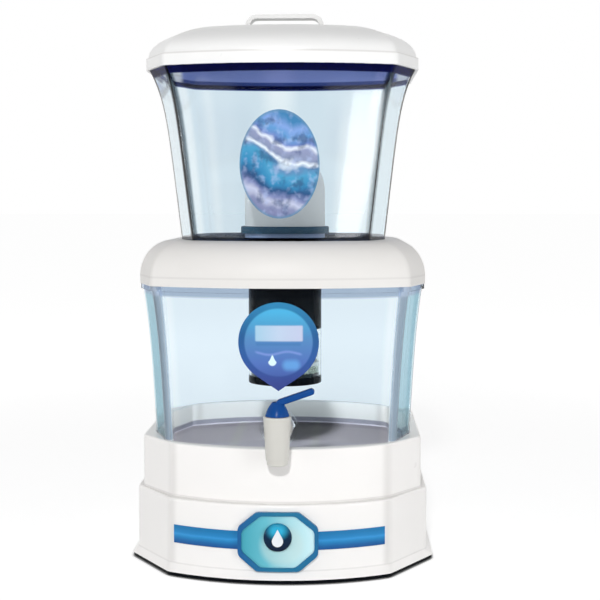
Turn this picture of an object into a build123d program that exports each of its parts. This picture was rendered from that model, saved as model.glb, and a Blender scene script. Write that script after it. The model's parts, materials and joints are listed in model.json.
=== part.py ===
from build123d import *
import math
import os

# Gravity water purifier, in millimetres. The front faces -Y and +Z is up.
# The pieces are drawn round the upright axis of the tanks. When they are written they move
# back, so that the origin is the middle of the whole footprint, stand and tap together, on
# the surface that the purifier stands on.
# Every tier shares one eight-sided plan: bowed front and back panels, flat sides and a
# flat facet across each corner.

# Running and seating clearances
seat_clearance = 0.6
well_clearance = 1.2
recess_clearance = 1.3
sleeve_clearance = 0.2
running_clearance = 0.08
label_clearance = 0.05

# Stand: how far its rim, step and foot stand out from the lower tank, and its heights
rim_across = 8.81
rim_along = 9.31
step_across = 5.7
step_along = 6.0
flare_across = 6.5
flare_along = 5.5
stand_facet = 30.8
collar_facet_along = 38.0
wall_facet_along = 51.0
foot_facet_along = 61.5
collar_bow = 29.0
wall_bow = 26.0
foot_bow = 24.0
base_corner = 11.0
flange_height = 7.0
step_height = 70.0
collar_height = 49.0
well_depth = 25.0
deck_thickness = 3.0
base_wall = 3.0
collar_round = 2.0
step_round = 2.5

# Bottom plate, feet and screws
feet_height = 1.2
feet_radius = 11.0
feet_pin_radius = 3.0
plate_thickness = 3.0
plate_setback = 1.0
screw_inset_across = 45.5
screw_inset_along = 65.0
feet_inset_across = 33.5
feet_inset_along = 93.0
boss_radius = 6.0
screw_radius = 1.9
screw_head_radius = 3.8
screw_head_height = 1.9
screw_length = 14.0

# Trim on the front of the stand
band_end_gap = 5.0
band_height = 16.3
band_thickness = 0.8
badge_half_width = 36.0
badge_half_height = 26.5
badge_cut_across = 17.0
badge_cut_along = 14.0
badge_round = 7.0
badge_sink = 2.6
bezel_width = 3.4
bezel_thickness = 3.2
badge_face_thickness = 2.0
badge_dome_radius = 12.6
badge_dome_height = 3.4
badge_dome_round = 2.4
badge_dome_lift = 4.4
drop_thickness = 0.8
badge_drop_radius = 5.0
badge_drop_reach = 10.5

# Tanks: half sizes of their plans at each level
tank_wall = 2.6
tank_floor = 3.0
tank_corner = 7.0
tank_facet_across = 16.0
tank_facet_along = 44.0
lower_bow = 29.0
lower_foot_half_width = 120.5
lower_foot_half_depth = 125.5
lower_straight_half_width = 129.0
lower_straight_half_depth = 132.0
lower_rim_half_width = 132.6
lower_rim_half_depth = 134.6
lower_flare_power = 4
lower_steps = 5
lower_height = 164.0
flange_thickness = 4.7
flange_overhang = 2.4
neck_height = 9.3
upper_bow = 20.0
upper_foot_half_width = 98.0
upper_foot_half_depth = 104.0
upper_straight_half_width = 116.0
upper_straight_half_depth = 121.0
upper_rim_half_width = 125.5
upper_rim_half_depth = 129.2
upper_flare_power = 7
upper_steps = 7
upper_height = 164.0
upper_lip = 4.0
rim_facet_growth = 5.0
dome_steps = 5

# Middle cover
cover_wall = 2.5
cover_skirt = 8.0
cover_rise = 29.3
cover_crown_margin = 8.0
cover_crown_lift = 4.0
cover_deck_thickness = 3.0

# Lid and its handle
lid_wall = 2.5
lid_skirt = 11.0
lid_step = 1.8
lid_crown_rise = 33.05
lid_crown_half_width = 48.0
lid_crown_half_depth = 46.0
handle_half_length = 39.0
handle_rise = 18.0
handle_bar = 4.2
handle_depth = 16.0
handle_bend = 12.0
handle_foot_length = 9.0
handle_foot_height = 5.0
handle_screw_length = 7.0

# Filter in the upper tank, on the vertical axis of the purifier
dome_radius = 40.0
dome_straight = 40.0
dome_wall = 8.0
seal_ring_radius = 44.0
seal_ring_height = 7.0
seal_ring_ledge = 2.0
seal_ring_bore = 33.0
seal_ring_round = 1.5
filter_base_radius = 40.0
filter_base_height = 4.5
washer_thickness = 1.5
washer_radius = 24.0
stem_radius = 10.0
stem_bore = 4.0
stem_length = 27.0
wing_nut_radius = 15.0
wing_nut_height = 7.0
wing_reach = 27.0
wing_thickness = 5.0
wing_round = 2.0

# Cartridge under the middle cover
cartridge_radius = 36.5
cartridge_wall = 2.1
cartridge_gap = 1.0
carbon_shell_length = 56.0
clear_shell_length = 47.0
cap_thickness = 3.0
cap_skirt = 7.0
cap_collar_height = 9.0
cap_collar_wall = 3.6
spigot_length = 6.0
base_cap_height = 7.0
base_cap_spigot = 2.5
base_cap_floor = 2.5
slot_count = 8
slot_width = 3.0
slot_length = 14.0
slot_ring_radius = 20.0
pad_thickness = 3.5
sand_height = 8.0

# Labels on the fronts of the tanks
label_thickness = 0.5
oval_half_width = 36.5
oval_half_height = 49.3
oval_lift = 74.0
drop_radius = 36.3
drop_lift = 120.0
drop_reach = 44.0

# Tap
tap_lift = 43.0
tap_reach = 22.8
tap_pad_radius = 17.0
tap_pad_proud = 1.8
tap_thread_radius = 8.0
tap_thread_spare = 3.0
tap_bore = 4.0
tap_top_radius = 12.5
tap_bottom_radius = 10.2
tap_rise = 14.5
tap_drop = 24.0
tap_round = 0.8
tap_collar_radius = 12.0
tap_collar_thickness = 3.0
tap_washer_radius = 13.0
tap_washer_thickness = 2.0
lock_nut_radius = 14.5
lock_nut_thickness = 6.0
plug_radius = 7.5
plug_seat = 12.0
plug_port = 3.8
spout_bore = 5.5
nozzle_length = 4.5
nozzle_radius = 9.4
nozzle_spigot = 4.0
nozzle_spigot_radius = 7.4
nozzle_bore = 4.8
o_ring_wire = 1.0
o_ring_depth = 6.0
key_radius = 3.6
key_height = 7.0
lever_gap = 0.3
lever_hub_radius = 10.8
lever_hub_height = 12.0
lever_neck_radius = 4.6
lever_hub_fullness = 0.6
lever_arm_reach = 30.0
lever_arm_sink = 1.0
lever_arm_rise = 10.5
lever_arm_width = 9.0
lever_arm_thickness = 5.6
lever_arm_bend = 5.0
lever_arm_round = 1.8

# Cylinders stand on the plane that places them
standing = (Align.CENTER, Align.CENTER, Align.MIN)
hanging = (Align.CENTER, Align.CENTER, Align.MAX)

os.makedirs("parts", exist_ok=True)


class Plan:
    """Eight-sided outline with bowed front and back panels, corner facets and flat sides."""

    def __init__(self, half_width, half_depth, panel_half, side_half, bow, corner):
        self.half_width = half_width
        self.half_depth = half_depth
        self.panel_half = panel_half
        self.side_half = side_half
        self.bow = bow
        self.corner = corner

    def between(self, other, share_width, share_depth=None):
        """The plan part of the way to another one."""
        if share_depth is None:
            share_depth = share_width

        def mix(start, end, share):
            return start + (end - start) * share

        return Plan(
            mix(self.half_width, other.half_width, share_width),
            mix(self.half_depth, other.half_depth, share_depth),
            mix(self.panel_half, other.panel_half, share_width),
            mix(self.side_half, other.side_half, share_depth),
            mix(self.bow, other.bow, share_depth),
            mix(self.corner, other.corner, share_width),
        )

    def face(self, height, grow=0.0):
        """The outline as a face at a height, moved outwards by grow."""
        edge_depth = self.half_depth - self.bow
        with BuildSketch(Plane.XY.offset(height)) as outline:
            with BuildLine():
                for side in (-1, 1):
                    ThreePointArc(
                        (-self.panel_half, side * edge_depth),
                        (0, side * self.half_depth),
                        (self.panel_half, side * edge_depth),
                    )
                    Line(
                        (side * self.half_width, -self.side_half),
                        (side * self.half_width, self.side_half),
                    )
                    for across in (-1, 1):
                        Line(
                            (across * self.panel_half, side * edge_depth),
                            (across * self.half_width, side * self.side_half),
                        )
            make_face()
            fillet(outline.vertices(), radius=self.corner)
            if grow:
                offset(amount=grow)
        return outline.sketch


def tank_plan(half_width, half_depth, bow, extra_facet=0.0):
    """A tank's plan, whose corner facets keep their size from level to level."""
    return Plan(
        half_width,
        half_depth,
        half_width - tank_facet_across - extra_facet,
        half_depth - bow - tank_facet_along,
        bow,
        tank_corner,
    )


def lower_plan(height):
    """The lower tank's plan at a height: straight walls that flare a little to the rim."""
    share = (height - lower_foot_height) / (flange_bottom - lower_foot_height)
    flare = share**lower_flare_power
    return tank_plan(
        lower_foot_half_width
        + (lower_straight_half_width - lower_foot_half_width) * share
        + (lower_rim_half_width - lower_straight_half_width) * flare,
        lower_foot_half_depth
        + (lower_straight_half_depth - lower_foot_half_depth) * share
        + (lower_rim_half_depth - lower_straight_half_depth) * flare,
        lower_bow,
    )


def upper_plan(height):
    """The upper tank's plan at a height: straight walls with a wide flare at the rim."""
    share = (height - upper_foot_height) / (upper_rim_height - upper_foot_height)
    flare = share**upper_flare_power
    return tank_plan(
        upper_foot_half_width
        + (upper_straight_half_width - upper_foot_half_width) * share
        + (upper_rim_half_width - upper_straight_half_width) * flare,
        upper_foot_half_depth
        + (upper_straight_half_depth - upper_foot_half_depth) * share
        + (upper_rim_half_depth - upper_straight_half_depth) * flare,
        upper_bow,
        rim_facet_growth * flare,
    )


def tank_levels(plan_at, bottom, top, steps):
    """A tank's plans at even steps of height."""
    levels = []
    for step in range(steps + 1):
        height = bottom + (top - bottom) * step / steps
        levels.append((height, plan_at(height)))
    return levels


def rise(levels, grow=0.0, lowered=0.0, ruled=False, mode=Mode.ADD):
    """A solid through the plans of several levels, each plan grown by the same amount."""
    faces = [plan.face(height - lowered, grow) for height, plan in levels]
    loft(faces, ruled=ruled, mode=mode)


def prism(plan, bottom, top, grow=0.0, mode=Mode.ADD):
    """An upright wall or hole with one plan from bottom to top."""
    extrude(plan.face(bottom, grow), amount=top - bottom, mode=mode)


def dome_levels(bottom, rim, top, crown):
    """Levels of a dome whose profile is a quarter of an ellipse from rim to crown."""
    levels = []
    for step in range(dome_steps + 1):
        angle = math.pi / 2 * step / dome_steps
        plan = rim.between(crown, 1 - math.cos(angle))
        levels.append((bottom + (top - bottom) * math.sin(angle), plan))
    return levels


def disc(radius, bottom, top, mode=Mode.ADD):
    """A cylinder on the vertical axis from bottom to top."""
    with Locations((0, 0, bottom)):
        Cylinder(radius, top - bottom, align=standing, mode=mode)


def posts(spread_x, spread_y, radius, bottom, top, mode=Mode.ADD):
    """Four upright cylinders, one in each corner of a rectangle about the axis."""
    with Locations((0, 0, bottom)):
        with GridLocations(2 * spread_x, 2 * spread_y, 2, 2):
            Cylinder(radius, top - bottom, align=standing, mode=mode)


# Heights that several pieces share, from the surface upwards
plate_bottom = feet_height
plate_top = plate_bottom + plate_thickness
screw_head_top = plate_bottom + screw_head_height
screw_tip = plate_bottom + screw_length
flange_top = plate_top + flange_height
badge_height = (flange_top + step_height) / 2 - badge_sink
base_height = step_height + collar_height
lower_foot_height = base_height - well_depth
lower_floor_top = lower_foot_height + tank_floor
tap_height = lower_foot_height + tap_lift
drop_height = lower_foot_height + drop_lift
flange_bottom = lower_foot_height + lower_height
flange_top_of_tank = flange_bottom + flange_thickness
lower_lip_height = flange_top_of_tank + neck_height
cover_skirt_top = flange_top_of_tank + cover_skirt
upper_foot_height = cover_skirt_top + cover_rise
upper_floor_top = upper_foot_height + tank_floor
oval_height = upper_foot_height + oval_lift
upper_rim_height = upper_foot_height + upper_height
upper_lip_height = upper_rim_height + upper_lip

# Plans of the stand, from the lower tank that it holds outwards
well_plan = lower_plan(base_height)
collar_half_width = well_plan.half_width + well_clearance + rim_across
collar_half_depth = well_plan.half_depth + well_clearance + rim_along
wall_half_width = collar_half_width + step_across
wall_half_depth = collar_half_depth + step_along
foot_half_width = wall_half_width + flare_across
foot_half_depth = wall_half_depth + flare_along
stand_panel_half = collar_half_width - stand_facet
collar_plan = Plan(
    collar_half_width,
    collar_half_depth,
    stand_panel_half,
    collar_half_depth - collar_bow - collar_facet_along,
    collar_bow,
    base_corner,
)
wall_plan = Plan(
    wall_half_width,
    wall_half_depth,
    stand_panel_half,
    wall_half_depth - wall_bow - wall_facet_along,
    wall_bow,
    base_corner,
)
foot_plan = Plan(
    foot_half_width,
    foot_half_depth,
    stand_panel_half,
    foot_half_depth - foot_bow - foot_facet_along,
    foot_bow,
    base_corner,
)

# Plans and levels of the tanks
lower_levels = tank_levels(lower_plan, lower_foot_height, flange_bottom, lower_steps)
upper_levels = tank_levels(upper_plan, upper_foot_height, upper_rim_height, upper_steps)
lower_foot_plan = lower_plan(lower_foot_height)
lower_rim_plan = lower_plan(flange_bottom)
upper_foot_plan = upper_plan(upper_foot_height)
upper_rim_plan = upper_plan(upper_rim_height)

# The tap's place on the front wall of the lower tank
tap_wall_front = lower_plan(tap_height).half_depth
tap_pad_front = tap_wall_front + tap_pad_proud
tap_pad_back = tap_wall_front - tank_wall - tap_pad_proud
tap_axis = tap_pad_front + tap_reach

# How far the upright axis stands behind the middle of the whole footprint, and a length
# that takes a cut from the axis past the front
axis_setback = (tap_axis + tap_top_radius - foot_half_depth) / 2
front_reach = 2 * foot_half_depth


def save(builder, name):
    """Move a finished piece to its place about the origin, label it and write it."""
    piece = builder.part.moved(Location((0, axis_setback, 0)))
    piece.label = name
    export_step(piece, f"parts/{name}.step")


def screw_posts(radius, bottom, top, mode=Mode.ADD):
    """Cylinders at the four screws of the stand."""
    across = wall_half_width - screw_inset_across
    along = wall_half_depth - screw_inset_along
    posts(across, along, radius, bottom, top, mode)


def foot_posts(radius, bottom, top, mode=Mode.ADD):
    """Cylinders at the four feet of the stand."""
    across = wall_half_width - feet_inset_across
    along = wall_half_depth - feet_inset_along
    posts(across, along, radius, bottom, top, mode)


# Stand: a hollow moulding with a well in its top for the lower tank
with BuildPart() as base_shell:
    rise([(plate_top, foot_plan), (flange_top, wall_plan)], ruled=True)
    prism(wall_plan, flange_top, step_height)
    fillet(base_shell.faces().sort_by(Axis.Z)[-1].edges(), radius=step_round)
    prism(collar_plan, step_height, base_height)
    rise(
        [(lower_foot_height, lower_foot_plan), (base_height, well_plan)],
        grow=well_clearance,
        ruled=True,
        mode=Mode.SUBTRACT,
    )
    fillet(base_shell.faces().sort_by(Axis.Z)[-1].outer_wire().edges(), radius=collar_round)
    prism(wall_plan, plate_top, step_height - base_wall, grow=-base_wall, mode=Mode.SUBTRACT)
    prism(
        collar_plan,
        step_height - base_wall,
        lower_foot_height - deck_thickness,
        grow=-base_wall,
        mode=Mode.SUBTRACT,
    )
    screw_posts(boss_radius, plate_top, lower_foot_height - deck_thickness)
    screw_posts(screw_radius + label_clearance, plate_top, screw_tip, mode=Mode.SUBTRACT)
save(base_shell, "base_shell")

# Black plate that closes the stand underneath
with BuildPart() as base_plate:
    prism(foot_plan, plate_bottom, plate_top, grow=-plate_setback)
    screw_posts(screw_radius + sleeve_clearance, plate_bottom, plate_top, mode=Mode.SUBTRACT)
    screw_posts(
        screw_head_radius + sleeve_clearance, plate_bottom, screw_head_top, mode=Mode.SUBTRACT
    )
    foot_posts(feet_pin_radius + label_clearance, plate_bottom, plate_top, mode=Mode.SUBTRACT)
save(base_plate, "base_plate")

# Round rubber feet with a pin up into the plate
with BuildPart() as rubber_feet:
    foot_posts(feet_radius, 0, feet_height)
    foot_posts(feet_pin_radius, 0, plate_top)
save(rubber_feet, "rubber_feet")

# Screws through the plate into the bosses of the stand
with BuildPart() as base_screws:
    screw_posts(screw_head_radius, plate_bottom, screw_head_top)
    screw_posts(screw_radius, plate_bottom, screw_tip)
save(base_screws, "base_screws")


def front_skin(plan, bottom, top, inner, outer):
    """A curved skin on the bowed front panel of a plan, from one growth to another."""
    prism(plan, bottom, top, grow=outer)
    prism(plan, bottom, top, grow=inner, mode=Mode.SUBTRACT)


def keep_front(sketch):
    """Keep what a sketch on the front plane covers, from the axis to the front."""
    extrude(sketch, amount=front_reach, mode=Mode.INTERSECT)


def badge_outline(inset):
    """Rounded eight-sided outline of the badge on the front plane."""
    half_width = badge_half_width - inset
    half_height = badge_half_height - inset
    across = half_width - badge_cut_across
    along = half_height - badge_cut_along
    with BuildSketch(Plane.XZ) as outline:
        with Locations((0, badge_height)):
            Polygon(
                (-half_width, -along),
                (-across, -half_height),
                (across, -half_height),
                (half_width, -along),
                (half_width, along),
                (across, half_height),
                (-across, half_height),
                (-half_width, along),
                align=None,
            )
        fillet(outline.vertices(), radius=badge_round)
    return outline.sketch


def drop_outline(centre, radius, reach, upwards):
    """A round drop on the front plane, whose point lies reach above or below its centre."""
    touch = math.acos(radius / reach)
    side = radius * math.sin(touch)
    turn = 1 if upwards else -1
    tip = (0, centre + turn * reach)
    left = (-side, centre + turn * radius * math.cos(touch))
    right = (side, centre + turn * radius * math.cos(touch))
    with BuildSketch(Plane.XZ) as outline:
        with BuildLine():
            Line(tip, right)
            ThreePointArc(right, (0, centre - turn * radius), left)
            Line(left, tip)
        make_face()
    return outline.sketch


# Blue band across the front of the stand, behind the badge
band_bottom = badge_height - band_height / 2
with BuildPart() as front_band:
    front_skin(
        wall_plan, band_bottom, band_bottom + band_height, label_clearance, band_thickness
    )
    with BuildSketch(Plane.XZ) as band_face:
        with Locations((0, badge_height)):
            Rectangle(2 * (stand_panel_half - band_end_gap), 2 * band_height)
    keep_front(band_face.sketch)
save(front_band, "front_band")

# Badge: a raised bezel, a pale face, a round dome and a drop on it
badge_bottom = badge_height - badge_half_height
badge_top = badge_height + badge_half_height
badge_seat = band_thickness + label_clearance
with BuildPart() as badge_bezel:
    front_skin(wall_plan, badge_bottom, badge_top, badge_seat, badge_seat + bezel_thickness)
    keep_front(badge_outline(0))
    extrude(badge_outline(bezel_width), amount=front_reach, mode=Mode.SUBTRACT)
save(badge_bezel, "badge_bezel")

with BuildPart() as badge_face:
    front_skin(
        wall_plan, badge_bottom, badge_top, badge_seat, badge_seat + badge_face_thickness
    )
    keep_front(badge_outline(bezel_width + label_clearance))
save(badge_face, "badge_face")

badge_dome_seat = wall_half_depth + badge_seat + badge_face_thickness + label_clearance
badge_dome_centre = badge_height + badge_dome_lift
with BuildPart() as badge_dome:
    with BuildSketch(Plane.XZ.offset(badge_dome_seat)):
        with Locations((0, badge_dome_centre)):
            Circle(badge_dome_radius)
    extrude(amount=badge_dome_height)
    fillet(badge_dome.faces().sort_by(Axis.Y)[0].edges(), radius=badge_dome_round)
save(badge_dome, "badge_dome")

badge_drop_seat = badge_dome_seat + badge_dome_height + label_clearance
badge_drop_centre = badge_dome_centre - (badge_drop_reach - badge_drop_radius) / 2
with BuildPart() as badge_drop:
    extrude(
        drop_outline(badge_drop_centre, badge_drop_radius, badge_drop_reach, True),
        amount=badge_drop_seat + drop_thickness,
    )
    split(bisect_by=Plane.XZ.offset(badge_drop_seat), keep=Keep.TOP)
save(badge_drop, "badge_drop")


def carve_levels(levels, floor_height, floor_thickness, foot):
    """Hollow a tank from its floor to its rim and put the flat floor back."""
    rise(levels, grow=-tank_wall, mode=Mode.SUBTRACT)
    prism(foot, floor_height, floor_height + floor_thickness)


def front_disc(radius, height, back, front, mode=Mode.ADD):
    """A cylinder that points to the front at a height, between two distances from the axis."""
    with BuildSketch(Plane.XZ.offset(back)) as end:
        with Locations((0, height)):
            Circle(radius)
    extrude(end.sketch, amount=front - back, mode=mode)


# Lower tank: clear walls, a flange that carries the middle cover and a neck inside it
with BuildPart() as lower_tank:
    rise(lower_levels)
    prism(lower_rim_plan, flange_bottom, flange_top_of_tank, grow=flange_overhang)
    prism(lower_rim_plan, flange_top_of_tank, lower_lip_height)
    prism(
        lower_rim_plan, flange_bottom, lower_lip_height, grow=-tank_wall, mode=Mode.SUBTRACT
    )
    carve_levels(lower_levels, lower_foot_height, tank_floor, lower_foot_plan)
    front_disc(tap_pad_radius, tap_height, tap_pad_back, tap_pad_front)
    front_disc(
        tap_thread_radius + sleeve_clearance,
        tap_height,
        tap_pad_back - tank_wall,
        tap_pad_front + tank_wall,
        mode=Mode.SUBTRACT,
    )
save(lower_tank, "lower_tank")

# Upper tank: clear walls that flare to a plain lip, with a hole for the filter's stem
with BuildPart() as upper_tank:
    rise(upper_levels)
    prism(upper_rim_plan, upper_rim_height, upper_lip_height)
    prism(
        upper_rim_plan, upper_rim_height, upper_lip_height, grow=-tank_wall, mode=Mode.SUBTRACT
    )
    carve_levels(upper_levels, upper_foot_height, tank_floor, upper_foot_plan)
    disc(
        stem_radius + sleeve_clearance, upper_foot_height, upper_floor_top, mode=Mode.SUBTRACT
    )
save(upper_tank, "upper_tank")

# Middle cover: a skirt on the lower tank's flange, a domed shoulder and a seated deck
cover_rim_plan = Plan(
    lower_rim_half_width + seat_clearance + cover_wall,
    lower_rim_half_depth + seat_clearance + cover_wall,
    lower_rim_plan.panel_half + cover_wall,
    lower_rim_plan.side_half + cover_wall / 2,
    lower_bow,
    tank_corner + cover_wall,
)
cover_crown_plan = Plan(
    upper_foot_half_width + cover_crown_margin,
    upper_foot_half_depth + cover_crown_margin,
    upper_foot_plan.panel_half + cover_crown_margin,
    upper_foot_plan.side_half + cover_crown_margin,
    upper_bow,
    tank_corner + cover_wall,
)
cover_top = upper_foot_height + cover_crown_lift
cover_deck_bottom = upper_foot_height - cover_deck_thickness
cover_levels = dome_levels(cover_skirt_top, cover_rim_plan, cover_top, cover_crown_plan)
with BuildPart() as middle_cover:
    prism(cover_rim_plan, flange_top_of_tank, cover_skirt_top)
    rise(cover_levels)
    prism(
        cover_rim_plan,
        flange_top_of_tank,
        cover_skirt_top - cover_wall,
        grow=-cover_wall,
        mode=Mode.SUBTRACT,
    )
    rise(cover_levels, grow=-cover_wall, lowered=cover_wall, mode=Mode.SUBTRACT)
    prism(
        upper_foot_plan,
        cover_deck_bottom,
        cover_top,
        grow=recess_clearance + cover_wall,
    )
    prism(
        upper_foot_plan,
        upper_foot_height,
        cover_top,
        grow=recess_clearance,
        mode=Mode.SUBTRACT,
    )
    disc(
        stem_radius + sleeve_clearance,
        cover_deck_bottom,
        upper_foot_height,
        mode=Mode.SUBTRACT,
    )
save(middle_cover, "middle_cover")

# Lid: a skirt round the upper tank's lip, a small step and a dome with a flat crown
lid_rim_plan = Plan(
    upper_rim_half_width + seat_clearance + lid_wall,
    upper_rim_half_depth + seat_clearance + lid_wall,
    upper_rim_plan.panel_half + lid_wall,
    upper_rim_plan.side_half + lid_wall / 2,
    upper_bow,
    tank_corner + lid_wall,
)
lid_dome_plan = Plan(
    lid_rim_plan.half_width - lid_step,
    lid_rim_plan.half_depth - lid_step,
    lid_rim_plan.panel_half - lid_step,
    lid_rim_plan.side_half - lid_step / 2,
    upper_bow,
    tank_corner + lid_wall,
)
lid_crown_plan = Plan(
    lid_crown_half_width,
    lid_crown_half_depth,
    lid_crown_half_width * lid_dome_plan.panel_half / lid_dome_plan.half_width,
    lid_crown_half_depth * lid_dome_plan.side_half / lid_dome_plan.half_depth,
    upper_bow * lid_crown_half_depth / lid_dome_plan.half_depth,
    lid_wall + label_clearance,
)
lid_bottom = upper_rim_height - label_clearance
handle_screw_place = handle_half_length - handle_foot_length / 2
lid_skirt_top = lid_bottom + lid_skirt
lid_crown_height = lid_skirt_top + lid_crown_rise
lid_levels = dome_levels(lid_skirt_top, lid_dome_plan, lid_crown_height, lid_crown_plan)
with BuildPart() as lid:
    prism(lid_rim_plan, lid_bottom, lid_skirt_top)
    rise(lid_levels)
    prism(
        upper_rim_plan, lid_bottom, upper_lip_height, grow=seat_clearance, mode=Mode.SUBTRACT
    )
    prism(
        lid_dome_plan,
        upper_lip_height,
        lid_skirt_top - lid_wall,
        grow=-lid_wall,
        mode=Mode.SUBTRACT,
    )
    rise(lid_levels, grow=-lid_wall, lowered=lid_wall, mode=Mode.SUBTRACT)
    with Locations((0, 0, lid_crown_height)):
        with GridLocations(2 * handle_screw_place, 0, 2, 1):
            Cylinder(screw_radius + sleeve_clearance, 4 * lid_wall, mode=Mode.SUBTRACT)
save(lid, "lid")

# Handle: a bent bar whose two feet stand on the crown of the lid
handle_top = lid_crown_height + handle_rise
with BuildPart() as lid_handle:
    with BuildSketch(Plane.XZ):
        with BuildLine():
            FilletPolyline(
                (-handle_half_length, lid_crown_height),
                (-handle_half_length, handle_top),
                (handle_half_length, handle_top),
                (handle_half_length, lid_crown_height),
                radius=handle_bend,
            )
            offset(amount=-handle_bar, side=Side.RIGHT)
        make_face()
        with Locations((0, lid_crown_height)):
            with GridLocations(2 * handle_screw_place, 0, 2, 1):
                Rectangle(
                    handle_foot_length, handle_foot_height, align=(Align.CENTER, Align.MIN)
                )
    extrude(amount=handle_depth / 2, both=True)
    with Locations((0, 0, lid_crown_height)):
        with GridLocations(2 * handle_screw_place, 0, 2, 1):
            Cylinder(
                screw_radius + label_clearance,
                handle_screw_length - lid_wall,
                align=standing,
                mode=Mode.SUBTRACT,
            )
save(lid_handle, "lid_handle")

# Screws from inside the lid into the handle's feet
with BuildPart() as handle_screws:
    with Locations((0, 0, lid_crown_height - lid_wall)):
        with GridLocations(2 * handle_screw_place, 0, 2, 1):
            Cylinder(screw_radius, handle_screw_length, align=standing)
            Cylinder(screw_head_radius, screw_head_height, align=hanging)
save(handle_screws, "handle_screws")

# Filter: washer, threaded foot, seal ring, ceramic dome and the wing nut under the cover
filter_foot_height = upper_floor_top + washer_thickness
filter_foot_top = filter_foot_height + filter_base_height
dome_height = filter_foot_top + seal_ring_ledge
with BuildPart() as filter_washer:
    disc(washer_radius, upper_floor_top, filter_foot_height)
    disc(
        stem_radius + sleeve_clearance, upper_floor_top, filter_foot_height, mode=Mode.SUBTRACT
    )
save(filter_washer, "filter_washer")

dome_bore = dome_radius - dome_wall
with BuildPart() as filter_base:
    disc(filter_base_radius, filter_foot_height, filter_foot_top)
    disc(dome_bore - sleeve_clearance, filter_foot_top, filter_foot_top + seal_ring_height)
    disc(stem_radius, filter_foot_height - stem_length, filter_foot_height)
    disc(
        stem_bore,
        filter_foot_height - stem_length,
        filter_foot_top + seal_ring_height,
        mode=Mode.SUBTRACT,
    )
save(filter_base, "filter_base")

with BuildPart() as filter_seal_ring:
    disc(seal_ring_radius, filter_foot_top, filter_foot_top + seal_ring_height)
    disc(
        dome_radius + sleeve_clearance,
        dome_height,
        filter_foot_top + seal_ring_height,
        mode=Mode.SUBTRACT,
    )
    disc(seal_ring_bore, filter_foot_top, dome_height, mode=Mode.SUBTRACT)
    top_edges = filter_seal_ring.edges().group_by(Axis.Z)[-1]
    fillet(top_edges.sort_by(SortBy.RADIUS)[-1], radius=seal_ring_round)
save(filter_seal_ring, "filter_seal_ring")


def dome_profile(radius):
    """Half profile of an upright cylinder that ends in a half sphere."""
    shoulder = dome_height + dome_straight
    with BuildSketch(Plane.XZ) as profile:
        with BuildLine():
            Line((0, dome_height), (radius, dome_height))
            Line((radius, dome_height), (radius, shoulder))
            RadiusArc((radius, shoulder), (0, shoulder + radius), -radius)
            Line((0, shoulder + radius), (0, dome_height))
        make_face()
    return profile.sketch


with BuildPart() as ceramic_dome:
    revolve(dome_profile(dome_radius), axis=Axis.Z)
    revolve(dome_profile(dome_bore), axis=Axis.Z, mode=Mode.SUBTRACT)
save(ceramic_dome, "ceramic_dome")

with BuildPart() as wing_nut:
    disc(wing_nut_radius, cover_deck_bottom - wing_nut_height, cover_deck_bottom)
    with Locations((0, 0, cover_deck_bottom)):
        Box(2 * wing_reach, wing_thickness, wing_nut_height, align=hanging)
    for end in (0, -1):
        fillet(wing_nut.edges().filter_by(Axis.Z).group_by(Axis.X)[end], radius=wing_round)
    disc(
        stem_radius + label_clearance,
        cover_deck_bottom - wing_nut_height,
        cover_deck_bottom,
        mode=Mode.SUBTRACT,
    )
save(wing_nut, "wing_nut")

# Cartridge: a cap on the stem, a black shell, a clear shell and a slotted bottom cap
cartridge_bore = cartridge_radius - cartridge_wall
spigot_radius = cartridge_bore - sleeve_clearance
spigot_bore = spigot_radius - cartridge_wall
bed_radius = cartridge_bore - sleeve_clearance
cartridge_top = cover_deck_bottom - wing_nut_height - cartridge_gap - cap_collar_height
cap_floor = cartridge_top - cap_thickness
carbon_top = cap_floor - cap_skirt
cartridge_middle = carbon_top - carbon_shell_length
clear_bottom = cartridge_middle - clear_shell_length
cartridge_foot = clear_bottom - base_cap_height
with BuildPart() as cartridge_cap:
    disc(cartridge_radius, carbon_top, cartridge_top)
    disc(cartridge_bore, carbon_top, cap_floor, mode=Mode.SUBTRACT)
    disc(
        stem_radius + cap_collar_wall, cartridge_top, cartridge_top + cap_collar_height
    )
    disc(
        stem_radius + label_clearance,
        cap_floor,
        cartridge_top + cap_collar_height,
        mode=Mode.SUBTRACT,
    )
save(cartridge_cap, "cartridge_cap")


def cartridge_shell(bottom, top):
    """A tube with a narrower neck on top that fits inside the piece above it."""
    disc(cartridge_radius, bottom, top)
    disc(spigot_radius, top, top + spigot_length)
    disc(cartridge_bore, bottom, top - cartridge_wall, mode=Mode.SUBTRACT)
    disc(spigot_bore, bottom, top + spigot_length, mode=Mode.SUBTRACT)


with BuildPart() as cartridge_carbon_shell:
    cartridge_shell(cartridge_middle, carbon_top)
save(cartridge_carbon_shell, "cartridge_carbon_shell")

with BuildPart() as cartridge_clear_shell:
    cartridge_shell(clear_bottom, cartridge_middle)
save(cartridge_clear_shell, "cartridge_clear_shell")

with BuildPart() as cartridge_base:
    disc(cartridge_radius, cartridge_foot, clear_bottom)
    disc(spigot_radius, clear_bottom, clear_bottom + base_cap_spigot)
    disc(
        spigot_bore,
        cartridge_foot + base_cap_floor,
        clear_bottom + base_cap_spigot,
        mode=Mode.SUBTRACT,
    )
    with BuildSketch(Plane.XY.offset(cartridge_foot)):
        with PolarLocations(slot_ring_radius, slot_count):
            SlotOverall(slot_length, slot_width)
    extrude(amount=base_cap_floor, mode=Mode.SUBTRACT)
save(cartridge_base, "cartridge_base")

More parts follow.
